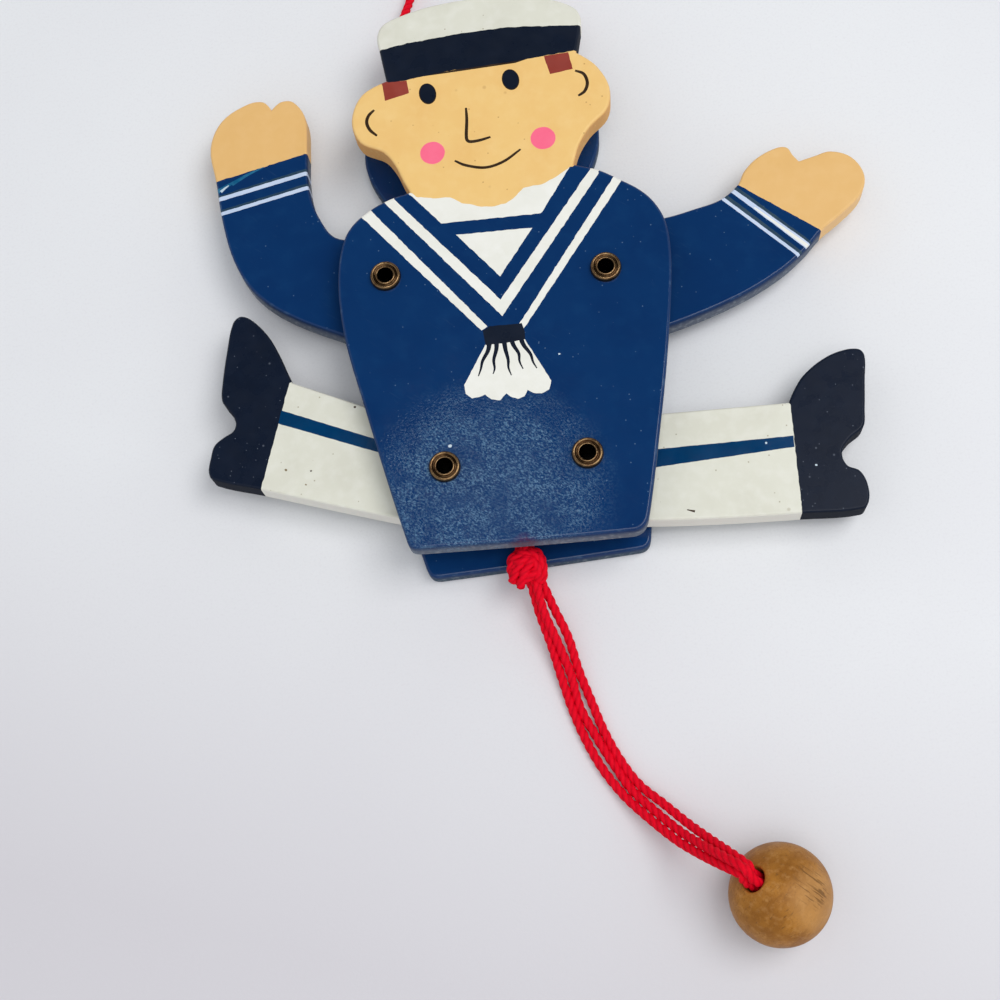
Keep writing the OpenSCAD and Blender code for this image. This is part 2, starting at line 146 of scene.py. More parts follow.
def srgb(*rgb):
    """A colour as it is seen, 0 to 255, as the linear values that a shader takes."""
    return tuple(c / 255 / 12.92 if c <= 10.3 else ((c / 255 + 0.055) / 1.055) ** 2.4 for c in rgb) + (1,)


class Nodes:
    """A node tree, and the colour that is built up in it."""

    def __init__(self, owner, color):
        owner.use_nodes = True
        self.tree = owner.node_tree
        self.color = color

    def node(self, kind, inputs=(), **settings):
        made = self.tree.nodes.new(kind)
        for name, value in settings.items():
            setattr(made, name, value)
        for socket, value in dict(inputs).items():
            self.feed(made.inputs[socket], value)
        return made

    def feed(self, socket, value):
        if isinstance(value, bpy.types.NodeSocket):
            self.tree.links.new(value, socket)
        else:
            socket.default_value = value

    def math(self, operation, a, b):
        return self.node("ShaderNodeMath", {0: a, 1: b}, operation=operation).outputs[0]

    def times(self, a, b):
        return self.math("MULTIPLY", a, b)

    def part(self, vector, axis):
        return self.node("ShaderNodeSeparateXYZ", {"Vector": vector}).outputs[axis]

    def span(self, value, low, high, out=(0, 1)):
        """value, where low to high becomes the two ends of out."""
        return self.node("ShaderNodeMapRange", {
            "Value": value, "From Min": low, "From Max": high, "To Min": out[0], "To Max": out[1],
        }, clamp=True).outputs["Result"]

    def over(self, mask, color):
        """Lays a linear colour over what is there, where the mask is 1."""
        mix = self.node("ShaderNodeMix", {0: mask, 6: self.color, 7: color}, data_type="RGBA")
        self.color = mix.outputs[2]


class Finish(Nodes):
    """A material built up from its shader: each method adds one kind of detail."""

    def __init__(self, name, color, **sockets):
        self.material = bpy.data.materials.new(name)
        super().__init__(self.material, srgb(*color))
        self.shader = self.tree.nodes["Principled BSDF"]
        self.place = self.node("ShaderNodeTexCoord").outputs["Object"]
        self.raised = {}
        for socket, value in sockets.items():
            self.shader.inputs[socket.replace("_", " ")].default_value = value

    def stretched(self, scale, turn=(0, 0, 0)):
        """The object's coordinates, turned and then shrunk along an axis to draw a pattern out along it."""
        return self.node("ShaderNodeMapping", {
            "Vector": self.place, "Scale": [1 / s for s in scale], "Rotation": turn},
            vector_type="TEXTURE").outputs["Vector"]

    def noise(self, size, detail, vector=None, rough=0.5, distortion=0):
        """Cloudy values about 0.5, with clouds about size mm across."""
        return self.node("ShaderNodeTexNoise", {
            "Vector": vector or self.place, "Scale": 1 / (size * MM), "Detail": detail,
            "Roughness": rough, "Distortion": distortion}).outputs["Fac"]

    def clouds(self, size, detail, low, high, within=None):
        """1 in clouds about size mm across, which fade in from low to high, everywhere or within a mask."""
        made = self.span(self.noise(size, detail), low, high)
        return self.times(within, made) if within else made

    def dots(self, spacing, size, share):
        """1 in small round dots and 0 elsewhere; a share of the cells has a dot."""
        cells = self.node("ShaderNodeTexVoronoi", {"Vector": self.place, "Scale": 1 / (spacing * MM)})
        near = self.span(cells.outputs["Distance"], size / spacing, size / spacing * 0.5)
        chosen = self.node("ShaderNodeSeparateColor", {"Color": cells.outputs["Color"]}).outputs["Red"]
        return self.times(near, self.math("LESS_THAN", chosen, share))

    def walls(self):
        """1 on the board's sides, 0 on its flat faces."""
        upward = self.part(self.node("ShaderNodeTexCoord").outputs["Normal"], "Z")
        return self.span(self.math("ABSOLUTE", upward, 0), 0.75, 0.3)

    def near(self, point, radius):
        """1 close to a point, in mm, fading to 0 at the radius."""
        gap = self.node("ShaderNodeVectorMath", {0: self.place, 1: Vector(point) * MM}, operation="DISTANCE")
        return self.span(gap.outputs["Value"], radius * MM, radius * MM * 0.6)

    def attribute(self, name):
        return self.node("ShaderNodeAttribute", attribute_name=name).outputs["Fac"]

    def tint(self, mask, color, amount):
        """Lays a colour, 0 to 255, over what is there, by the amount where the mask is 1."""
        self.over(self.times(mask, amount), srgb(*color))

    def rough(self, mask, low, high, on_walls=0):
        """The roughness: low to high with the mask, and at least on_walls on the board's sides."""
        value = self.span(mask, 0.3, 0.7, (low, high))
        if on_walls:
            value = self.math("MAXIMUM", value, self.times(self.walls(), on_walls))
        self.feed(self.shader.inputs["Roughness"], value)

    def bump(self, height, depth):
        """Raises the surface by depth mm where height is 1."""
        bump = self.node("ShaderNodeBump", {
            "Height": height, "Distance": depth * MM, "Strength": 1.0, **self.raised})
        self.raised = {"Normal": bump.outputs["Normal"]}

    def done(self):
        self.feed(self.shader.inputs["Base Color"], self.color)
        self.feed(self.shader.inputs["Normal"], self.raised["Normal"])
        return self.material


def gloss_paint(name, color, dark, light, roughness, peel, dust=None, wall=None, shine=0.3):
    """Brushed enamel on wood: cloudy colour, worn edges, dull sawn walls in a colour of painted light and
    shade, and an orange-peel skin. Its dust is the share of cells that have a speck, the specks' colour and
    their size."""
    f = Finish(name, color, IOR=1.5, Specular_IOR_Level=shine)
    f.tint(f.clouds(9, 3, 0.42, 0.75), dark, 0.6)
    f.tint(f.clouds(2.5, 4, 0.45, 0.8), light, 0.5)
    if dust:
        share, tone, size = dust
        f.tint(f.dots(11 * size, size, share), tone, 0.7)
        f.tint(f.dots(25 * size, 2.3 * size, share / 2), tone, 0.35)
    f.tint(f.clouds(1.6, 4, 0.5, 0.72, f.attribute("edge")), light, 0.55)
    # Painted light and shade on the sides: the wall colour is darker than the face for skin and black, where
    # the sides lie in shade, and lighter for cream and hand, where light falls on them.
    if wall:
        f.tint(f.walls(), wall, 0.75)
        f.tint(f.clouds(0.7, 4, 0.56, 0.7, f.walls()), light, 0.5)
    f.rough(f.noise(3, 3), roughness * 0.8, roughness * 1.3, WALL_ROUGHNESS)
    f.bump(f.noise(0.9, 2), peel)
    f.bump(f.noise(6, 2, f.stretched((1, 0.25, 1))), peel * 2)
    return f.done()


def navy_paint(name, wall, worn, coarse=None, stained=None):
    """Glossy navy. Its skin is coarse round one point, with painted glints there, and a dark red tint lies
    round another point.
    """
    f = Finish(name, (13, 51, 99), IOR=1.45, Specular_IOR_Level=0.35)
    f.tint(f.clouds(11, 3, 0.42, 0.75), (11, 44, 91), 0.7)
    f.tint(f.clouds(3, 4, 0.5, 0.85), (20, 61, 108), 0.5)
    f.tint(f.dots(1.2, 0.15, 1 / 4), (110, 140, 170), 0.6)
    f.tint(f.dots(9, 0.3, 1 / 5), (120, 146, 172), 0.5)
    slant = (0, 0, 0.9)
    scuffs = f.noise(0.5, 3, f.stretched((1, 0.12, 1), slant))
    f.tint(f.clouds(14, 2, 0.45, 0.7, f.span(scuffs, 0.62, 0.8)), (60, 92, 128), 0.4)
    f.tint(f.clouds(2.2, 4, 0.55, 0.75, f.attribute("edge")), (70, 100, 132), 0.7)
    # Painted reflection: the lower part of the sides is tinted grey, as the glossy sides mirror the pale
    # table; worn flecks lie on it.
    lower_wall = f.times(f.walls(), f.span(f.attribute("height"), 0.85, 0.5))
    f.tint(lower_wall, wall, 0.8)
    f.tint(f.clouds(0.9, 4, 0.5, 0.7, lower_wall), worn, 0.7)
    f.rough(f.noise(4, 3), 0.08, 0.13, WALL_ROUGHNESS)
    f.bump(f.noise(6, 2), 0.03)
    skin = f.noise(0.5, 2)
    f.bump(skin, 0.008)
    if coarse:
        around = f.near(coarse, 25)
        f.bump(f.times(skin, around), 0.042)
        # Painted highlights: pale glints in patches round the coarse point, where the small lamp would catch
        # the orange peel.
        painted_glint_patches = f.times(f.math("POWER", around, 1.5), f.span(f.noise(5, 2), 0.36, 0.58, (0.25, 1)))
        painted_glints = f.span(f.noise(0.3, 2, f.stretched((1, 0.6, 1), slant), 0.7), 0.46, 0.74)
        f.tint(f.times(painted_glints, painted_glint_patches), (120, 164, 194), 0.65)
        # A dark red tint round one point on the lower side, just above the knot.
        f.tint(f.clouds(0.9, 3, 0.3, 0.6, f.near(stained, 3.2)), (92, 16, 50), 0.6)
    return f.done()


def brass():
    f = Finish("aged_brass", (146, 118, 84), Metallic=1.0)
    f.tint(f.clouds(1.1, 4, 0.45, 0.65), (98, 72, 50), 0.8)
    f.tint(f.clouds(0.35, 3, 0.6, 0.75), (196, 168, 122), 0.5)
    # Painted shade in the hollows: in the bore, beside the lip and at the foot of the rim.
    f.tint(f.attribute("groove"), (44, 32, 24), 0.7)
    f.rough(f.noise(0.5, 3), 0.1, 0.24)
    f.bump(f.noise(0.5, 2), 0.01)
    return f.done()


def bare_wood(name, color, dark, light, scratched=None):
    """Turned or sawn beech with long grain and short dark flecks, and scratches round one point in mm."""
    f = Finish(name, color, IOR=1.5, Specular_IOR_Level=0.15)
    f.tint(f.clouds(5, 3, 0.4, 0.65), dark, 0.75)
    slant = (0.3, 0.5, -0.7)
    grain = f.noise(0.8, 5, f.stretched((1, 0.14, 1), slant), 0.6, 0.4)
    f.tint(f.span(grain, 0.55, 0.75), dark, 0.7)
    f.tint(f.clouds(1, 4, 0.5, 0.75), light, 0.3)
    flecks = f.noise(0.35, 3, f.stretched((1, 0.22, 1), slant))
    f.tint(f.span(flecks, 0.62, 0.74), (92, 62, 34), 0.65)
    f.tint(f.clouds(0.3, 4, 0.52, 0.7), dark, 0.5)
    if scratched:
        f.tint(f.near(scratched + Vector((1, -3, 0)), 7), light, 0.4)
        lines = f.noise(0.36, 2, f.stretched((1, 0.05, 0.15), (0, 0, 0.85)))
        around = f.near(scratched, 4.6)
        f.tint(f.times(f.span(lines, 0.56, 0.62), around), (84, 54, 26), 0.6)
        f.bump(f.times(lines, around), -0.06)
    f.rough(f.noise(2, 3), 0.35, 0.55)
    f.bump(flecks, -0.03)
    f.bump(grain, 0.03)
    return f.done()


def laid_cord(name, color, dark, light, fibre=0.12):
    """Twisted yarn: painted shade darkens the hollows between the strands, and fine fibres run along them."""
    f = Finish(name, color, Roughness=0.7, IOR=1.45, Specular_IOR_Level=0.12)
    f.tint(f.attribute("groove"), dark, 0.55)
    f.tint(f.clouds(0.5, 3, 0.5, 0.8), light, 0.5)
    yarn = f.node("ShaderNodeCombineXYZ", {
        "X": f.times(f.attribute("along"), 0.12), "Y": f.attribute("around")}).outputs["Vector"]
    fibres = f.node("ShaderNodeTexNoise", {"Vector": yarn, "Scale": 1 / fibre, "Detail": 2}).outputs["Fac"]
    f.tint(f.span(fibres, 0.55, 0.7), dark, 0.2)
    f.bump(fibres, 0.05)
    return f.done()


def table_top():
    f = Finish("table_top", (233, 235, 238), Roughness=0.6, IOR=1.45)
    f.tint(f.clouds(60, 3, 0.4, 0.7), (228, 229, 233), 0.6)
    # Painted shade: the table darkens towards the lower left, where less of the lamps' light falls.
    painted_shade_ramp = f.math("ADD", f.part(f.place, "Y"), f.times(f.part(f.place, "X"), 0.35))
    f.tint(f.span(painted_shade_ramp, -0.01, -0.1), (208, 205, 211), 0.85)
    f.tint(f.clouds(0.5, 4, 0.5, 0.75), (214, 213, 218), 0.25)
    f.bump(f.noise(0.6, 3), 0.03)
    return f.done()


def make_mesh(name, verts, faces, materials, slots=None):
    """An object from points in mm. slots gives each face's place in materials."""
    mesh = bpy.data.meshes.new(name)
    mesh.from_pydata([tuple(c * MM for c in v) for v in verts], [], faces)
    for material in materials:
        mesh.materials.append(material)
    if slots:
        mesh.polygons.foreach_set("material_index", slots)
    mesh.polygons.foreach_set("use_smooth", [True] * len(faces))
    return linked(name, mesh)


def give(piece, body, node):
    """The piece rides on the body and stands for the node."""
    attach(piece, body)
    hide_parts(node)


def point_attribute(piece, name, values):
    attribute = piece.data.attributes.new(name, "FLOAT", "POINT")
    attribute.data.foreach_set("value", values)


# Outlines and paint


def outlines(node):
    """The edge of a board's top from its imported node, then the edges of its holes, each anticlockwise."""
    bm = bmesh.new()
    bm.from_mesh(frame["nodes"][node].data)
    bmesh.ops.remove_doubles(bm, verts=bm.verts, dist=1e-7)
    low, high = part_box(node)
    middle = (low.z + high.z) / 2
    links = {}
    for edge in bm.edges:
        walls = sum(abs(face.normal.z) < 0.1 for face in edge.link_faces)
        if walls == 1 and all(v.co.z > middle for v in edge.verts):
            for a, b in (edge.verts, reversed(edge.verts)):
                links.setdefault(a.index, []).append(b.index)
    places = {v.index: (v.co.x / MM, v.co.y / MM) for v in bm.verts}
    bm.free()
    loops = []
    left = set(links)
    while left:
        loop = []
        onward = [min(left)]
        while onward:
            loop.append(min(onward))
            left.discard(loop[-1])
            onward = [i for i in links[loop[-1]] if i in left]
        loops.append(turned_left([places[i] for i in loop]))
    return sorted(loops, key=area, reverse=True)


def area(loop):
    return sum(a[0] * b[1] - b[0] * a[1] for a, b in zip(loop, loop[1:] + loop[:1])) / 2


def turned_left(loop):
    return loop if area(loop) > 0 else loop[::-1]


def drawn_in(points, depth):
    """An outline moved inward; where it would fold over itself, its points fall together."""
    step = np.roll(points, -1, 0) - points
    normal = np.stack([-step[:, 1], step[:, 0]], 1) / np.linalg.norm(step, axis=1)[:, None]
    before = np.roll(normal, 1, 0)
    turn = np.maximum(1 + (before * normal).sum(1), 0.4)
    inner = points + depth * (before + normal) / turn[:, None]
    count = len(points)
    for _ in range(50):
        folded = ((np.roll(inner, -1, 0) - inner) * step).sum(1) < -1e-6
        if not folded.any():
            break
        for i in np.flatnonzero(folded):
            inner[i] = inner[(i + 1) % count] = (inner[i] + inner[(i + 1) % count]) / 2
    return inner


def smooth_path(points, per_step):
    """A smooth line through points, of any number of dimensions."""
    p = np.array(points, float)
    p = np.vstack([2 * p[0] - p[1], p, 2 * p[-1] - p[-2]])
    made = []
    for a, b, c, d in zip(p, p[1:], p[2:], p[3:]):
        for t in np.arange(per_step) / per_step:
            made.append((2 * b + (c - a) * t + (2 * a - 5 * b + 4 * c - d) * t * t
                         + (3 * b - a - 3 * c + d) * t ** 3) / 2)
    return np.array([*made, p[-2]])


def ribbon(line, widths):
    """The outline of a brush stroke along a line, from its width at each point."""
    way = np.gradient(line, axis=0)
    across = np.stack([-way[:, 1], way[:, 0]], 1) / np.linalg.norm(way, axis=1)[:, None]
    half = across * widths[:, None] / 2
    return [tuple(q) for q in np.vstack([line + half, (line - half)[::-1]])]


def stroke(points, width):
    """A brush stroke along points, of full width in the middle and two thirds of it at its ends."""
    line = smooth_path(points, 8)
    return ribbon(line, width * (1 - 0.35 * np.abs(np.linspace(-1, 1, len(line))) ** 4))


def brushed(points, start, end):
    """A brush stroke that narrows evenly from start to end, in mm."""
    line = smooth_path(points, 6)
    return ribbon(line, np.linspace(start, end, len(line)))


def oval(center, width, height, turn=0, count=28):
    c, s = math.cos(math.radians(turn)), math.sin(math.radians(turn))
    made = []
    for i in range(count):
        a = 2 * math.pi * i / count
        x, y = width / 2 * math.cos(a), height / 2 * math.sin(a)
        made.append((center[0] + c * x - s * y, center[1] + s * x + c * y))
    return made


def ragged(loop, amount=0.12, spacing=0.5):
    """A painted outline with the broad and the fine waver of a brush or stencil."""
    made = []
    for a, b in zip(loop, loop[1:] + loop[:1]):
        a, b = Vector(a), Vector(b)
        steps = max(1, round((b - a).length / spacing))
        for i in range(steps):
            p = a.lerp(b, i / steps)
            broad = noise.noise_vector((p.x * 0.9, p.y * 0.9, 3.7)).to_2d()
            fine = noise.noise_vector((p.x * 2.3, p.y * 2.3, 8.1)).to_2d()
            made.append(tuple(p + amount * (broad + 0.6 * fine)))
    return made


class Board:
    """A flat piece with rounded edges. Paint on it is a list of (paint, outline), the last on top. With WRAPS
    as a third value it goes on round the edge, and is on the back as well. sinks has the radius and the
    depth of the seats round its holes at the back."""

    ARC = 4

    def __init__(self, node, base, paint, radius=0.6, sinks=None):
        low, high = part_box(node)
        self.z = (low.z / MM, high.z / MM)
        self.radius = radius
        self.sinks = sinks
        edge, *self.holes = outlines(node)
        self.edge = np.array(edge)
        self.inner = drawn_in(self.edge, radius)
        self.paints = [base]
        self.layers = []
        for name, outline, *wraps in paint:
            if name not in self.paints:
                self.paints.append(name)
            self.layers.append((self.paints.index(name), turned_left(outline), bool(wraps)))
        self.verts, self.faces, self.slots, self.normals, self.wear = [], [], [], [], []

    def flat(self, outer, holes, layers):
        """Triangles over a face, cut along the paint: the points, the triangles, each one's paint, the outer
        ring's points and those of each hole."""
        points, faces = [], []
        for loop in [outer, *holes, *(outline for _, outline, _ in layers)]:
            faces.append(list(range(len(points), len(points) + len(loop))))
            points += [Vector(p) for p in loop]
        out, _, triangles, old, _, inside = geometry.delaunay_2d_cdt(points, [], faces, 1, 1e-5, True)
        place_of = {i: new for new, olds in enumerate(old) for i in olds}
        first = 1 + len(holes)
        rings = [[place_of[i] for i in face] for face in faces[:first]]
        kept, paints = [], []
        for triangle, regions in zip(triangles, inside):
            if 0 in regions and not any(0 < r < first for r in regions):
                over = [layers[r - first] for r in sorted(regions) if r >= first]
                shown = [0, *(slot for slot, _, _ in over)]
                wrapped = [0, *(slot for slot, _, wraps in over if wraps)]
                kept.append(tuple(triangle))
                paints.append((shown[-1], wrapped[-1]))
        return out, kept, paints, rings[0], rings[1:]

    def add(self, points, z, wear=0.0):
        start = len(self.verts)
        self.verts += [(p[0], p[1], z) for p in points]
        self.wear += [wear] * len(points)
        return list(range(start, len(self.verts)))

    def face(self, corners, normals, slot):
        """A face; corners that fall together are left out."""
        kept = [i for i, c in enumerate(corners) if c != corners[i - 1]]
        if len(kept) > 2:
            self.faces.append([corners[i] for i in kept])
            self.normals += [normals[i] for i in kept]
            self.slots.append(slot)

    def ring(self, kept, paints, places, ids):
        """The outer ring in order: each entry has its point on the outline, its flat vertex, its stretch of
        the outline and its paint."""
        owner = {}
        for k, (a, b, c) in enumerate(kept):
            owner.update({(a, b): k, (b, c): k, (c, a): k})
        ahead = {u: v for u, v in owner if (v, u) not in owner}
        entries = []
        slots = (0, 0)
        for i, (start, end) in enumerate(zip(ids, ids[1:] + ids[:1])):
            here, there = self.edge[i], self.edge[(i + 1) % len(ids)]
            length = (places[end] - places[start]).length
            vertex = start
            while True:
                t = (places[vertex] - places[start]).length / length if length > 1e-9 else 0
                if vertex != end:
                    slots = paints[owner[vertex, ahead[vertex]]]
                entries.append((here + (there - here) * t, vertex, i, slots))
                if vertex == end or ahead[vertex] == end:
                    break
                vertex = ahead[vertex]
        return entries

    def side_normals(self, entries):
        """For each stretch of the ring, the outward directions at its start and its end."""
        step = np.roll(self.edge, -1, 0) - self.edge
        out = np.stack([step[:, 1], -step[:, 0]], 1) / np.linalg.norm(step, axis=1)[:, None]
        before = np.roll(out, 1, 0)
        smooth = (out * before).sum(1) > math.cos(math.radians(35))
        corner = before + out
        corner /= np.linalg.norm(corner, axis=1)[:, None]
        made = []
        for (place, _, i, _), (_, _, after, _) in zip(entries, entries[1:] + entries[:1]):
            j = (i + 1) % len(self.edge)
            at_start = smooth[i] and np.allclose(place, self.edge[i])
            at_end = smooth[j] and after != i
            made.append((corner[i] if at_start else out[i], corner[j] if at_end else out[i]))
        return made

    def build(self, name, materials):
        low, high = self.z
        places, kept, paints, ids, holes = self.flat([tuple(p) for p in self.inner], self.holes, self.layers)
        entries = self.ring(kept, paints, places, ids)
        ring = [vertex for _, vertex, _, _ in entries]
        seats = self.holes
        back_places, back_kept, back_paints, back_ring, back_holes = places, kept, paints, ring, holes
        if self.sinks:
            seats = [self.widened(np.array(hole)) for hole in self.holes]
            back_places, back_kept, back_paints, back_ring, back_holes = self.flat(
                [tuple(places[i]) for i in ring], seats, [])
        top = self.add(places, high)
        bottom = self.add(back_places, low)
        for triangle, (slot, _) in zip(kept, paints):
            self.face([top[i] for i in triangle], [(0, 0, 1)] * 3, slot)
        for triangle, (_, slot) in zip(back_kept, back_paints):
            self.face([bottom[i] for i in reversed(triangle)], [(0, 0, -1)] * 3, slot)
        self.sides(entries, [np.array(places[i]) for i in ring], [top[i] for i in ring],
                   [bottom[i] for i in back_ring])
        for hole, seat, front, behind in zip(self.holes, seats, holes, back_holes):
            self.bore(hole, seat, [top[i] for i in front], [bottom[i] for i in behind])
        used = sorted({i for face in self.faces for i in face})
        new_place = {old: new for new, old in enumerate(used)}
        faces = [[new_place[i] for i in face] for face in self.faces]
        made = make_mesh(name, [self.verts[i] for i in used], faces, [materials[p] for p in self.paints],
                         self.slots)
        made.data.normals_split_custom_set([tuple(n) for n in self.normals])
        point_attribute(made, "edge", [self.wear[i] for i in used])
        point_attribute(made, "height", [(self.verts[i][2] - low) / (high - low) for i in used])
        return made

    def widened(self, hole):
        """The outline of the seat round a hole."""
        center = np.mean(hole, 0)
        return [tuple(center + (p - center) * self.sinks[0] * 2 / np.ptp(hole[:, 0])) for p in hole]

    def sides(self, entries, flat, top, bottom):
        """The rounded edges and the wall between them, in rows from the top's ring to the bottom's."""
        low, high = self.z
        arc = [math.pi / 2 * k / self.ARC for k in range(1, self.ARC + 1)]
        rows = [(top, math.pi / 2)]
        for z, way, angles in ((high, 1, arc), (low, -1, arc[::-1])):
            for a in angles:
                points = [p + (entry[0] - p) * math.sin(a) for p, entry in zip(flat, entries)]
                ids = self.add(points, z - way * self.radius * (1 - math.cos(a)), math.sin(2 * a))
                rows.append((ids, way * (math.pi / 2 - a)))
        rows.append((bottom, -math.pi / 2))
        normals = self.side_normals(entries)
        for k, ((upper, upper_tilt), (lower, lower_tilt)) in enumerate(zip(rows, rows[1:])):
            for j, (first, last) in enumerate(normals):
                m = (j + 1) % len(entries)
                tilts = [(first, upper_tilt), (first, lower_tilt), (last, lower_tilt), (last, upper_tilt)]
                self.face([upper[j], lower[j], lower[m], upper[m]], [self.tilted(*t) for t in tilts],
                          entries[j][3][k >= self.ARC])

    @staticmethod
    def tilted(out, tilt):
        return (out[0] * math.cos(tilt), out[1] * math.cos(tilt), math.sin(tilt))

    def bore(self, hole, seat, front, back):
        """The wall of a hole, with the wider seat of a sunk rim at its back."""
        rings = [front, back]
        if self.sinks:
            depth = self.z[0] + self.sinks[1]
            rings[1:1] = [self.add(hole, depth), self.add(seat, depth)]
        center = np.mean(hole, 0)
        inward = [(*((center - q) / np.linalg.norm(center - q)), 0) for q in hole]
        for k, (a, b) in enumerate(zip(rings, rings[1:])):
            ledge = self.sinks and k == 1
            for i in range(len(hole)):
                first, last = [(0, 0, -1)] * 2 if ledge else (inward[i], inward[i - 1])
                self.face([a[i], b[i], b[i - 1], a[i - 1]], [first, first, last, last], 0)


def materials_of_paint():
    """Every paint by its name. The rows have what gloss_paint takes."""
    made = {
        # The navy paints' second colour is the painted reflection of the table on their lower sides.
        "navy": navy_paint("navy_paint", (108, 116, 128), (150, 156, 162), (-5.8, -6, 16), (-0.6, -16.2, 14)),
        "back": navy_paint("back_paint", (60, 80, 94), (128, 140, 148)),
    }
    # The eighth value of a row is the sides' colour of painted light and shade.
    for name, *row in (
            ("cream", (223, 223, 209), (212, 211, 196), (236, 236, 227), 0.35, 0.02,
             (0.5, (150, 138, 106), 0.19), (240, 237, 228)),
            ("skin", (241, 200, 127), (236, 189, 116), (246, 210, 143), 0.38, 0.015,
             (0.6, (180, 132, 72), 0.21), (236, 172, 104)),
            ("hand", (232, 187, 120), (227, 181, 113), (237, 195, 133), 0.38, 0.012,
             (0.1, (190, 144, 84), 0.18), (250, 206, 150)),
            ("black", (18, 27, 44), (15, 23, 38), (22, 32, 50), 0.28, 0.006,
             (0.8, (130, 138, 152), 0.11), (18, 24, 36), 0.14),
            ("band", (20, 28, 43), (15, 23, 38), (24, 33, 50), 0.3, 0.006, None, None, 0.14),
            ("white", (238, 238, 230), (226, 226, 214), (246, 246, 242), 0.4, 0.02,
             (0.12, (190, 184, 160), 0.22)),
            ("blue", (0, 54, 98), (0, 50, 84), (0, 64, 106), 0.16, 0.02),
            ("teal", (0, 92, 134), (0, 70, 110), (90, 160, 190), 0.35, 0.02),
            ("shade", (36, 64, 84), (22, 54, 82), (66, 88, 98), 0.35, 0.02),
            ("chip", (196, 214, 226), (170, 192, 208), (236, 240, 242), 0.4, 0.02),
            ("pale", (198, 213, 238), (178, 196, 222), (214, 226, 244), 0.4, 0.02),
            ("pink", (253, 110, 143), (250, 104, 138), (255, 122, 152), 0.4, 0.01),
            ("brown", (146, 58, 48), (128, 48, 38), (158, 70, 56), 0.4, 0.015),
            ("line", (48, 31, 13), (36, 24, 11), (82, 60, 28), 0.4, 0.01),
            ("stain", (136, 120, 90), (108, 92, 66), (186, 176, 148), 0.5, 0.01)):
        made[name] = gloss_paint(name + "_paint", *row)
    return made


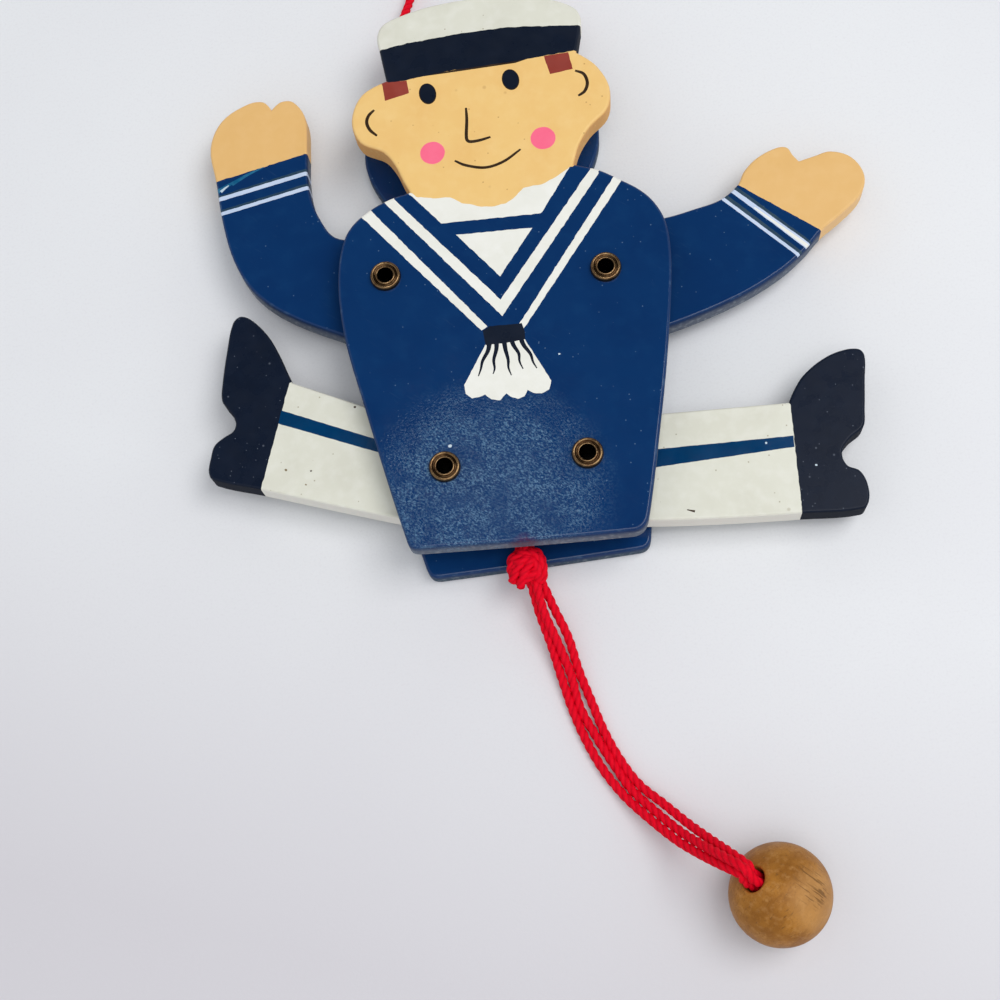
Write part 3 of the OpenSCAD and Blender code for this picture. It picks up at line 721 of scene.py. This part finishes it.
def face_paint():
    """Everything on the front board, from the sailor suit up to the hat."""
    far = 60
    chin = [(-far, 58.3), (-16, 58.2), (-14.3, 56.1), (-11, 55.4), (-7.6, 55.1), (-5.5, 53.6), (-1.8, 52.3),
        (0.6, 52), (3, 52.4), (5.2, 53.8), (6.7, 55.2), (10.5, 55.5), (13.4, 56.8), (16, 58.4), (far, 58.6)]
    band_foot = [(far, 84.2), (20.2, 83.9), (7.9, 83.2), (-5.8, 82.9), (-14.4, 82.1), (-19.2, 81.9),
        (-far, 81.8)]
    band_top = [(-far, 89.4), (-18.8, 89.6), (-13.1, 90.4), (-2.2, 91.1), (7.7, 91.1), (20.6, 89.6),
        (far, 86)]
    stripe = [(-20.6, 55.7), (-22, 58.1), (-20.3, 58.5), (-18.9, 56.5), (-0.1, 32.4), (19.6, 57),
        (20.2, 57.5), (21.2, 57.4), (21.6, 56.4), (-0.1, 29)]
    tassel = [(-3.6, 24), (-8.6, 16), (-8.5, 14.2), (-7.4, 13.1), (-5.9, 13.3), (-4.9, 13.6), (-3.8, 12.5),
        (-2.2, 12.1), (-0.9, 13.3), (0.1, 12.4), (1.2, 12), (2.4, 12.3), (3.1, 13.5), (4.3, 12.7),
        (5.7, 12.5), (7.2, 13.1), (7.7, 14.8), (3.5, 24)]
    paint = [
        ("white", ragged([(-19, 60), (-15, 56.2), (-9.9, 49.8), (9.5, 49.3), (16.4, 58.9), (17, 62)]), WRAPS),
        ("skin", ragged(chin + [(far, 130), (-far, 130)]), WRAPS),
        ("cream", ragged(band_foot[::-1] + [(far, 130), (-far, 130)]), WRAPS),
        ("line", [(13, 84), (-13.6, 82.4), (-5.8, 82.5), (8, 82.8)]),
        ("band", ragged(band_foot + band_top), WRAPS),
        ("brown", ragged([(-19, 82.1), (-14, 82), (-13.8, 79.1), (-18.7, 78)], 0.06)),
        ("brown", ragged([(18.6, 83.7), (13.7, 83.5), (14.5, 79.3), (19.1, 79.8)], 0.06)),
        ("line", oval((-10.1, 78.4), 3.45, 4.75, 6)),
        ("line", oval((6.6, 79.2), 3.45, 4.75, 6)),
        ("band", oval((-10.1, 78.45), 3.1, 4.4, 6)),
        ("band", oval((6.6, 79.25), 3.1, 4.4, 6)),
        ("pink", ragged(oval((-10.3, 65.2), 4.9, 4.9), 0.06)),
        ("pink", ragged(oval((11.6, 65.4), 4.9, 4.9), 0.06)),
        ("line", stroke([(-2.8, 74.2), (-2.9, 71.5), (-3.3, 68.2), (-3.2, 67), (-2.4, 66.6), (-0.6, 66.7),
            (1.4, 67.1)], 0.66)),
        ("line", stroke([(-6.1, 62.9), (-4, 61.6), (-0.3, 60.6), (3.4, 61.4), (7, 63.6)], 0.6)),
        ("line", stroke([(-21, 76.3), (-22.2, 75.2), (-22.7, 73.7), (-22.2, 72), (-20.9, 70.5)], 0.66)),
        ("line", stroke([(19.5, 79.4), (21.1, 78.4), (21.6, 76.4), (20.9, 74.6), (19.5, 73.7)], 0.66)),
        ("white", ragged(stripe)),
        ("white", ragged([(-7.3, 47), (7.5, 46.5), (0.3, 37.2)])),
        ("white", ragged([(-26.6, 55), (-25.4, 53.4), (-4.3, 26.5), (-3.1, 27.2), (-23.2, 54.1), (-24, 57)])),
        ("white", ragged([(25.5, 53.9), (25.6, 54.8), (25, 55.4), (24.2, 55.1), (2.9, 26.9), (3.7, 25.9)])),
        ("white", ragged(tassel, 0.08)),
    ]
    for strand in (
            [(-3, 24.2), (-3.5, 22.3), (-4.7, 20.4), (-5.2, 18.8), (-5.8, 17.4)],
            [(-1.7, 24.2), (-1.9, 22.4), (-2.6, 20.3), (-2.6, 18.6), (-3, 17.5)],
            [(-0.3, 24.2), (-0.2, 22.2), (0.1, 20), (0, 18.4), (0.4, 16.8)],
            [(1.1, 24.2), (1.4, 22.8), (2.2, 21), (2.2, 19.4), (2.7, 17.8)],
            [(2.9, 24.2), (3.3, 22.6), (4.4, 20.6), (4.7, 19), (5.3, 17.6)]):
        paint.append(("band", brushed(strand, 1.0, 0.2)))
    paint.append(("band", ragged([(-4.1, 26.4), (-2.7, 27.2), (3.4, 27), (3.8, 25.6), (3.7, 23.7),
        (-0.2, 23.4), (-3.8, 23.5)], 0.08)))
    for center, width in (((-12.4, 4.3), 0.75), ((9.8, 19.9), 0.4), ((31.5, 63), 0.3)):
        paint.append(("chip", ragged(oval(center, width, width * 0.9, count=10), 0.1)))
    paint.append(("chip", brushed([(24.9, -7), (24.7, -8.2), (24.5, -9.6)], 0.35, 0.15)))
    return paint


def on_limb(name, loop):
    """A loop given from the limb's pivot, X outwards, in the frame's own X and Y."""
    pivot = PIVOTS[name]
    return [(pivot.x + SIDES[name] * x, pivot.y + y) for x, y in loop]


def limb_paint():
    """Hands, cuff stripes, boots and trouser stripes, each from its limb's pivot."""
    return {
        "arm_left": [
            ("hand", ragged([(60, 22.7), (33, 28.2), (14.8, 31.9), (-5, 35.9), (-5, 60), (60, 60)]), WRAPS),
            ("teal", brushed([(34, 25.3), (31.2, 26.8), (28.6, 28)], 1.1, 0.4)),
            ("teal", brushed([(30, 27.2), (26.6, 28.9), (23.3, 30.1)], 0.9, 0.2)),
            ("chip", brushed([(32.3, 25.8), (31.4, 26.5), (30.6, 27)], 0.6, 0.2)),
            ("shade", ragged([(36, 24.2), (32, 25.1), (14.9, 28.6), (11, 29.3), (11, 28), (36, 23)], 0.08)),
            ("shade", ragged([(36, 20.9), (32.2, 21.8), (14.8, 25.3), (10, 26.2), (10, 25), (36, 20)], 0.08)),
            ("pale", ragged([(36, 23.9), (32, 24.7), (14.9, 28), (11, 28.8), (11, 27.9), (14.9, 27.1),
                (32, 23.8), (36, 23)], 0.06), WRAPS),
            ("pale", ragged([(36, 20.6), (32.2, 21.3), (14.8, 24.7), (10, 25.6), (10, 24.8), (14.8, 23.9),
                (32.2, 20.5), (36, 19.8)], 0.06), WRAPS),
        ],
        "arm_right": [
            ("hand", ragged([(12, 30), (28, 16.9), (42.2, 5.3), (58, -7.6), (80, 20), (40, 50)]), WRAPS),
            ("shade", ragged([(26.4, 18), (28.1, 16.1), (40.2, 3), (42, 1.3), (41, 0.4), (26, 17)], 0.08)),
            ("shade", ragged([(22.6, 18), (25.7, 14.9), (37.7, 1.6), (40, -1.2), (39, -1.6),
                (22, 17)], 0.08)),
            ("pale", ragged([(26, 17.5), (27.5, 15.7), (39.9, 2.6), (42, 0.4), (41, -0.4), (38.9, 1.8),
                (27, 14.9), (25.4, 16.4)], 0.06)),
            ("white", brushed([(30.5, 11.6), (35, 6.8), (39.6, 1.9)], 0.3, 0.75)),
            ("pale", ragged([(22.4, 17.4), (25.1, 14.4), (37.2, 1.2), (40, -1.8), (39.5, -2.4), (36.7, 0.8),
                (24.5, 14), (21.9, 16.9)], 0.05)),
        ],
        "leg_left": [
            ("black", ragged([(24.5, 36.5), (28.8, 23.1), (35.7, 1.9), (37.5, -3.6), (70, 0),
                (60, 60)]), WRAPS),
            ("blue", ragged([(30.8, 17.3), (31.6, 14.7), (13.5, 6.8), (4, 3), (3.2, 5.6),
                (13.9, 9.6)], 0.05)),
            ("stain", ragged(oval((30.7, 5.2), 0.6, 0.45, 40, 10), 0.1)),
            ("line", oval((25.9, 4.4), 0.4, 0.35, count=8)),
            ("line", oval((16.6, 16.2), 0.5, 0.45, count=8)),
            ("stain", ragged(oval((27, 1.8), 0.4, 0.3, 30, 10), 0.1)),
        ],
        "leg_right": [
            ("black", ragged([(39.4, 15), (39, 7), (38, -14.3), (37.6, -22), (80, -20), (80, 30)]), WRAPS),
            ("blue", ragged([(3, -0.4), (13.3, 1.2), (38.6, 0.7), (38.5, -1.5), (12.7, -2.3),
                (3, -3.4)], 0.05)),
            ("line", brushed([(17.1, -11.2), (17.9, -11.5), (18.5, -11.7)], 0.2, 0.45)),
            ("chip", oval((33.4, -0.1), 0.45, 0.45, count=8)),
            ("chip", ragged(oval((41.9, -5.5), 0.5, 0.4, count=8), 0.05)),
        ],
    }


# Cords


def frames(line):
    """Directions along a line, and two directions square to it that don't twist about it."""
    ahead = np.gradient(line, axis=0)
    ahead /= np.linalg.norm(ahead, axis=1)[:, None]
    side = np.cross(ahead[0], (0, 0, 1))
    if np.linalg.norm(side) < 0.1:
        side = np.cross(ahead[0], (0, 1, 0))
    sides = []
    for t in ahead:
        side = side - t * side.dot(t)
        side /= np.linalg.norm(side)
        sides.append(side)
    sides = np.array(sides)
    return ahead, sides, np.cross(ahead, sides)


def evenly(line, step):
    """The same line with its points about step apart, and how far along it each one is."""
    run = np.concatenate([[0], np.cumsum(np.linalg.norm(np.diff(line, axis=0), axis=1))])
    at = np.linspace(0, run[-1], max(4, round(run[-1] / step) + 1))
    return np.stack([np.interp(at, run, line[:, k]) for k in range(3)], 1), at


def rope(name, points, material, diameter=CORD_D, pitch=LAY_PITCH, step=0.3, sides=24, phase=0.0, taper=0.0,
         smooth=True):
    """A cord of three strands laid together, along points in mm. Its ends are closed, and taper mm of each
    narrow to a rounded tip."""
    line = smooth_path(points, 16) if smooth else np.array(points, float)
    line, run = evenly(line, step)
    ahead, side, up = frames(line)
    strand, center = 0.32 * diameter, 0.2 * diameter
    verts, groove, along, around = [], [], [], []
    for i, p in enumerate(line):
        turn = phase + 2 * math.pi * run[i] / pitch
        end = min(run[i], run[-1] - run[i])
        thin = math.sqrt(max(0.05, 1 - (1 - end / taper) ** 2)) if taper and end < taper else 1.0
        for k in range(sides):
            a = 2 * math.pi * k / sides
            off = (a - turn + math.pi / 3) % (2 * math.pi / 3) - math.pi / 3
            reach = center * math.cos(off) + math.sqrt(strand ** 2 - (center * math.sin(off)) ** 2)
            verts.append(p + thin * reach * (math.cos(a) * side[i] + math.sin(a) * up[i]))
            # Painted shade between the strands: 1 deep between two strands, 0 on their crowns.
            groove.append(max(0.0, abs(off) / (math.pi / 3) - 0.55) / 0.45)
            along.append(run[i])
            around.append(diameter / 2 * (a - turn))
    faces = []
    for start in range(0, len(verts) - sides, sides):
        for k in range(sides):
            a, b = start + k, start + (k + 1) % sides
            faces.append([a, b, b + sides, a + sides])
    faces.append(list(range(sides))[::-1])
    faces.append(list(range(len(verts) - sides, len(verts))))
    made = make_mesh(name, verts, faces, [material])
    point_attribute(made, "groove", groove)
    point_attribute(made, "along", along)
    point_attribute(made, "around", around)
    return made, [tuple(p * MM) for p in line[::4]] + [tuple(line[-1] * MM)]


def joined(name, pieces):
    """Several meshes as one piece."""
    bpy.ops.object.select_all(action="DESELECT")
    for piece in pieces:
        piece.select_set(True)
    bpy.context.view_layer.objects.active = pieces[0]
    bpy.ops.object.join()
    pieces[0].name = pieces[0].data.name = name
    return pieces[0]


def pull_strands(red):
    """Three strands from the knot under the body to the knot in the ball."""
    def spread(p, at):
        return [(*(Vector(p[:3]) + at), p[3], p[4])]
    path = spread((0.5, -1, -0.3, 0.6, 0.6), PULL_KNOT)
    for p in KNOT_PATH:
        path += spread(p, PULL_KNOT)
    for p in PULL_PATH:
        path += spread(p, Vector((PULL_KNOT.x, PULL_KNOT.y, 0)))
    for p in MOUTH_PATH:
        path += spread(p, MOUTH)
    for depth in (BALL_D / 2 + HOLE_RUN[0], BALL_D / 2 - HOLE_RUN[1], BALL_KNOT_END):
        path.append((*(BALL_AT + depth * BALL_DIR), *DRAWN_IN))
    path = np.array(path)
    middle = path[:, :3]
    made = {}
    for name, side, phase in (("left", -1, 0.3), ("middle", 0, 2.1), ("right", 1, 4.4)):
        line = []
        for i, p in enumerate(middle):
            t = middle[min(i + 1, len(middle) - 1)] - middle[max(i - 1, 0)]
            t /= np.linalg.norm(t)
            across = np.cross((0, 0, 1), t)
            across /= np.linalg.norm(across)
            lift = (2 / 3 if side == 0 else -1 / 3) * path[i, 4]
            line.append(p + (side * path[i, 3] + DRIFT[name][i]) * across + lift * np.cross(t, across))
        made[name] = rope(f"pull_strand_{name}_laid", line, red, phase=phase)
        give(made[name][0], "pull", "pull_strand_" + name)
    return made


def hanging_loop(red):
    """Two strands from the hole behind the face up to the hanging knot."""
    made = {}
    for name, side, phase in (("left", -1, 0.9), ("right", 1, 2.7)):
        line = [(-side * x, y, z) for x, y, z in HANGING_PATH[::-1]]
        made[name] = rope(f"hanging_cord_{name}_laid", line, red, phase=phase)
        give(made[name][0], "figure", "hanging_cord")
    return made


def knotted(name, at, lines, material, diameter=CORD_D, core=0.0):
    """A knot from the runs of cord that show on it, each a list of points from its middle. A thicker run of
    diameter core fills it."""
    pieces = []
    for k, line in enumerate(lines):
        pieces.append(rope(f"{name}_run_{k}", [tuple(at + Vector(p)) for p in line], material, diameter,
                           LAY_PITCH * diameter / CORD_D, phase=1.3 * k, taper=diameter / 3)[0])
    if core:
        ends = [tuple(at + Vector((0, y * core, 0))) for y in (-0.6, 0, 0.6)]
        pieces.append(rope(f"{name}_core", ends, material, core, 9, taper=core * 0.4)[0])
    return joined(name, pieces)


def turns(ahead, size, diameter=CORD_D,
          leans=((-0.34, 0, 0, 0.92), (0.3, 0.45, 0.15, 0.96), (0.05, -0.7, -0.3, 1))):
    """Rings of cord round the line ahead, as a tight knot of that size shows them: each has its shift along
    the line, its lean, its yaw and its share of the size."""
    ahead = Vector(ahead).normalized()
    side = ahead.cross(Vector((0, 0, 1))).normalized()
    up = side.cross(ahead)
    reach = (size - diameter) / 2
    made = []
    for shift, lean, yaw, share in leans:
        ring = []
        for i in range(25):
            a = 2 * math.pi * i / 24
            flat = share * reach * Vector((math.cos(a), 0, math.sin(a)))
            flat.rotate(Matrix.Rotation(lean, 3, "X") @ Matrix.Rotation(yaw, 3, "Z"))
            ring.append(side * flat.x + ahead * (flat.y + shift * size / 2) + up * flat.z)
        made.append(ring)
    return made


def knots(red):
    """The knot under the body, drawn as it shows, and the knots in the ball and of the hanging loop."""
    under = turns((0.3, -1, -0.1), 6.6, leans=((-0.2, 0.3, 0, 1), (0.25, -0.4, 0.3, 1)))
    shown = [
        [(-2.5, -1.6, -0.4), (-2.9, 0, 0.8), (-1.9, 1.7, 1.7), (0.1, 2.4, 2.1), (2, 1.7, 2.1), (3, 0, 1.6),
         (2.9, -1.8, 0.6), (1.9, -3, -0.6)],
        [(-1.2, 2.6, 0.6), (0.3, 1.4, 2.3), (1.8, 0.2, 2.4), (2.1, -1.5, 1.7), (1.5, -2.9, 0.3)],
        [(2, 1.4, 1.6), (1, 0.5, 2.6), (-0.3, -1.1, 2.5), (-1.1, -2.6, 1.7), (-1.7, -3.9, 0.8)],
        [(1, 2.2, 1.7), (-0.4, 1, 2.5), (-1.7, -0.5, 2.1), (-2.5, -1.7, 1.4), (-3.1, -2.6, 0.6)],
        [(-2.9, 0.4, 0.5), (-2.6, 2, 0.5), (-1.5, 2.85, 0.6), (0.5, 3, 0.9), (2.2, 2.75, 0.7),
         (2.9, 1.5, 0.6), (2.9, 0, 0.6)]]
    pull = knotted("pull_knot_tied", PULL_KNOT, under + shown, red, core=4.6)
    give(pull, "pull", "pull_knot")
    ball = knotted("ball_knot_tied", BALL_AT - BALL_KNOT_DEPTH * BALL_DIR, turns(BALL_DIR, BALL_KNOT_D), red)
    give(ball, "pull", "ball_knot")
    tails = [[(-0.8, 1.2, 0), (-1.2, 2.2, -0.2), (-1.4, 3.2, -0.4)],
             [(0.8, 1.2, 0), (1.2, 2, -0.2), (1.5, 3, -0.4)]]
    hang = knotted("hanging_knot_tied", HANGING_KNOT, turns((0, 1, 0), 4.4) + tails, red, core=2.6)
    give(hang, "figure", "hanging_knot")
    return ball, hang


def link(red, twine, limb, knot, size, strands, low):
    """The twine from limb to limb with the knots on its ends, the red knot on it, and the red strands that
    pull it from low on."""
    pins = [PIVOTS[f"{limb}_{side}"] + Vector((-SIDES[f"{limb}_{side}"] * LEVER[0], LEVER[1], 0))
            for side in ("left", "right")]
    rise = [(0, TWINE_END_Z), (0, 8), (0, 9.7), (0.1, 10.2), (0.5, 10.45), (2, TWINE_Z)]
    runs = []
    for at in pins:
        way = Vector((knot.x - at.x, knot.y - at.y, 0)).normalized()
        runs.append([Vector((at.x, at.y, 0)) + way * q + Vector((0, 0, z)) for q, z in rise])
    line = runs[0] + [Vector((knot.x, knot.y, TWINE_Z))] + runs[1][::-1]
    cord = rope(f"{limb}_link_laid", [tuple(p) for p in line], twine, smooth=False, **TWINE_LAY)[0]
    give(cord, "pull", f"{limb}_link_cord")
    coil = [(r * math.cos(a), r * math.sin(a))
            for a, r in zip(np.linspace(0, 13, 40), np.linspace(0.3, 1.05, 40))]
    ends = []
    for k, at in enumerate(pins):
        line = [(at.x + x, at.y + y, TWINE_END_Z) for x, y in coil]
        ends.append(rope(f"{limb}_end_{k}", line, twine, **TWINE_LAY)[0])
    give(joined(f"{limb}_end_coils", ends), "pull", f"{limb}_end_knots")
    thick = min(CORD_D, size / 2)
    tied = knotted(f"{limb}_link_tied", knot, turns((0, 1, 0), size, thick), red, thick, size * 0.6)
    give(tied, "pull", f"{limb}_link_knot")
    top = knot.y - size / 2 + KNOT_BITE
    pulls = [rope(f"{limb}_pull_{k}", [(PULL_X + x, low, z), (PULL_X + x, top, z)], red, phase=k,
                  smooth=False)[0] for k, (x, z) in enumerate(strands)]
    give(joined(f"{limb}_pull_laid", pulls), "pull", f"{limb}_pull_cord")


def lathe(name, profile, center, axis, material, count=96):
    """A turned shape: profile is its closed section, as (radius, height) pairs in mm along the axis."""
    axis = Vector(axis).normalized()
    side = axis.orthogonal().normalized()
    up = axis.cross(side)
    rows = len(profile)
    verts, faces = [], []
    for k in range(count):
        a = 2 * math.pi * k / count
        out = side * math.cos(a) + up * math.sin(a)
        verts += [tuple(center + out * r + axis * h) for r, h in profile]
        here, after = k * rows, (k + 1) % count * rows
        for i in range(rows):
            j = (i + 1) % rows
            faces.append([here + i, here + j, after + j, after + i])
    return make_mesh(name, verts, faces, [material])


def eyelet_profile():
    """A rolled rim on the front, the barrel and the rolled rim sunk in the back, as one closed section."""
    bore, rim, rise, wall = 1.5, 3.0, 1.1, 0.4
    # Radius and height of the lip round the bore, the hollow beside it and the outer roll
    section = [
        (bore, 0.3), (1.5, 0.8), (1.56, 0.98), (1.68, 1.06), (1.82, 1), (1.93, 0.82), (2.02, 0.66),
        (2.13, 0.66), (2.25, 0.86), (2.4, 1.03), (2.56, rise), (2.72, 1.02), (2.86, 0.8), (2.96, 0.48),
        (rim, 0.2), (2.96, 0)]
    front = [(r, FACE_Z + h) for r, h in section]
    back = [(r, rise - h) for r, h in section]
    return front + [(bore + wall, FACE_Z)] + [(bore + wall, rise)] + back[::-1]


def eyelets():
    metal = brass()
    profile = eyelet_profile()
    # Painted shade: 1 in the bore, in the hollow beside the lip and at the rim's foot.
    hollow_shade = [1.0 if r < 1.57 or 1.92 < r < 2.2 or r > 2.9 else 0.0 for r, _ in profile]
    for name, pivot in (("shoulder", "arm"), ("hip", "leg")):
        for side in ("left", "right"):
            at = PIVOTS[f"{pivot}_{side}"]
            node = f"{name}_eyelet_{side}"
            piece = lathe(node + "_rolled", profile, Vector((at.x, at.y, 0)), (0, 0, 1), metal)
            point_attribute(piece, "groove", hollow_shade * (len(piece.data.vertices) // len(profile)))
            give(piece, "figure", node)


def ball_piece():
    wood = bare_wood(
        "ball_wood", (172, 116, 46), (130, 80, 26), (214, 164, 104), BALL_AT + Vector((5.4, 0.8, 7)))
    r, hole, sunk, flare = BALL_D / 2, BALL_HOLE_D / 2, 2.9, 0.25
    mouth = math.asin((hole + flare) / r)
    far = math.asin((sunk + flare) / r)
    points = [(hole, r * math.cos(mouth) - 0.45), (hole + 0.08, r * math.cos(mouth) - 0.12)]
    for i in range(73):
        a = mouth + (math.pi - far - mouth) * i / 72
        points.append((r * math.sin(a), r * math.cos(a)))
    ledge = -BALL_KNOT_DEPTH + 2.5
    points += [(sunk, -r * math.cos(far) + 0.4), (sunk, ledge), (hole, ledge)]
    piece = lathe("ball_turned", points, BALL_AT, BALL_DIR, wood, 128)
    give(piece, "pull", "ball")
    return piece


def boards():
    """The two boards and the limbs."""
    paints = materials_of_paint()
    made = {"back_board": Board("back_board", "back", [], sinks=(3.1, 1.1)),
            "front_board": Board("front_board", "navy", face_paint())}
    for name, layers in limb_paint().items():
        placed = [(paint, on_limb(name, loop), *wraps) for paint, loop, *wraps in layers]
        made[name] = Board(name, "navy" if name.startswith("arm") else "cream", placed, 0.5)
    for name, board in made.items():
        body = name if name in SIDES else "figure"
        give(board.build(name + "_painted", paints), body, name)


def inner_parts(red):
    """What shows only through the gap between the boards."""
    twine = laid_cord("pale_twine", (214, 204, 178), (150, 138, 110), (232, 226, 206), 0.06)
    link(red, twine, "arm", Vector((PULL_X, 28.5, 8.4)), 5, [(-0.95, 7.1), (0.95, 7.1)], -15.4)
    link(red, twine, "leg", Vector((PULL_X, -8.5, 9.5)), 2.6, [(0, 9)], -16)
    spacer = frame["nodes"]["head_spacer"].data.materials
    spacer.clear()
    spacer.append(bare_wood("spacer_wood", (200, 160, 108), (176, 132, 84), (216, 182, 134)))


def stage():
    """A pale table, and the room's light: a broad lamp overhead, a soft one at the upper right, a small one
    that the coarse paint catches, and a dim room with a dark patch of ceiling that the paint mirrors."""
    half = 2500
    corners = [(-half, -half, 0), (half, -half, 0), (half, half, 0), (-half, half, 0)]
    make_mesh("floor", corners, [[0, 1, 2, 3]], [table_top()])
    world = bpy.data.worlds.new("room")
    bpy.context.scene.world = world
    room = Nodes(world, (0.3, 0.31, 0.33, 1))
    ahead = room.node("ShaderNodeTexCoord").outputs["Generated"]
    room.over(room.span(room.part(ahead, "Z"), 0, 0.4), (0.6, 0.61, 0.63, 1))
    patch = Vector((0, 0.42, 0.9)).normalized()
    toward = room.node("ShaderNodeVectorMath", {0: ahead, 1: patch}, operation="DOT_PRODUCT").outputs["Value"]
    room.over(room.span(toward, 0.86, 0.93), (0.025, 0.027, 0.034, 1))
    room.feed(room.tree.nodes["Background"].inputs["Color"], room.color)
    lamps = [
        ("overhead", (0.1, -0.32, 1.15), 0.75, 3.5, (1, 0.995, 0.985)),
        ("key", (0.5, 0.08, 1.05), 0.65, 4.7, (1, 0.99, 0.975)),
        ("glint", (-0.07, 0.355, 1.2), 0.1, 0.17, (0.8, 0.92, 1)),
    ]
    for name, place, size, power, color in lamps:
        data = bpy.data.lights.new(name, "AREA")
        data.shape = "DISK"
        data.size = size
        data.energy = power
        data.color = color
        lamp = linked(name, data)
        lamp.location = place
        lamp.rotation_euler = (Vector((0, 0.02, 0)) - Vector(place)).to_track_quat("-Z", "Y").to_euler()


def declare(strand):
    """Works out one free cord's length along its route, and its points; neither is kept."""
    piece, path = strand
    length = sum((Vector(b) - Vector(a)).length for a, b in zip(path, path[1:]))
    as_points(path)


def declare_cords(strands, loop, ball_knot, hanging_knot):
    for name, strand in strands.items():
        declare(strand)
    for name, strand in loop.items():
        declare(strand)


bpy.context.scene.view_settings.view_transform = "Standard"
camera()
red = laid_cord("red_cord", (232, 0, 34), (158, 0, 20), (244, 18, 52))
strands = pull_strands(red)
loop = hanging_loop(red)
ball_knot, hanging_knot = knots(red)
ball = ball_piece()
declare_cords(strands, loop, ball_knot, hanging_knot)
boards()
eyelets()
inner_parts(red)
stage()
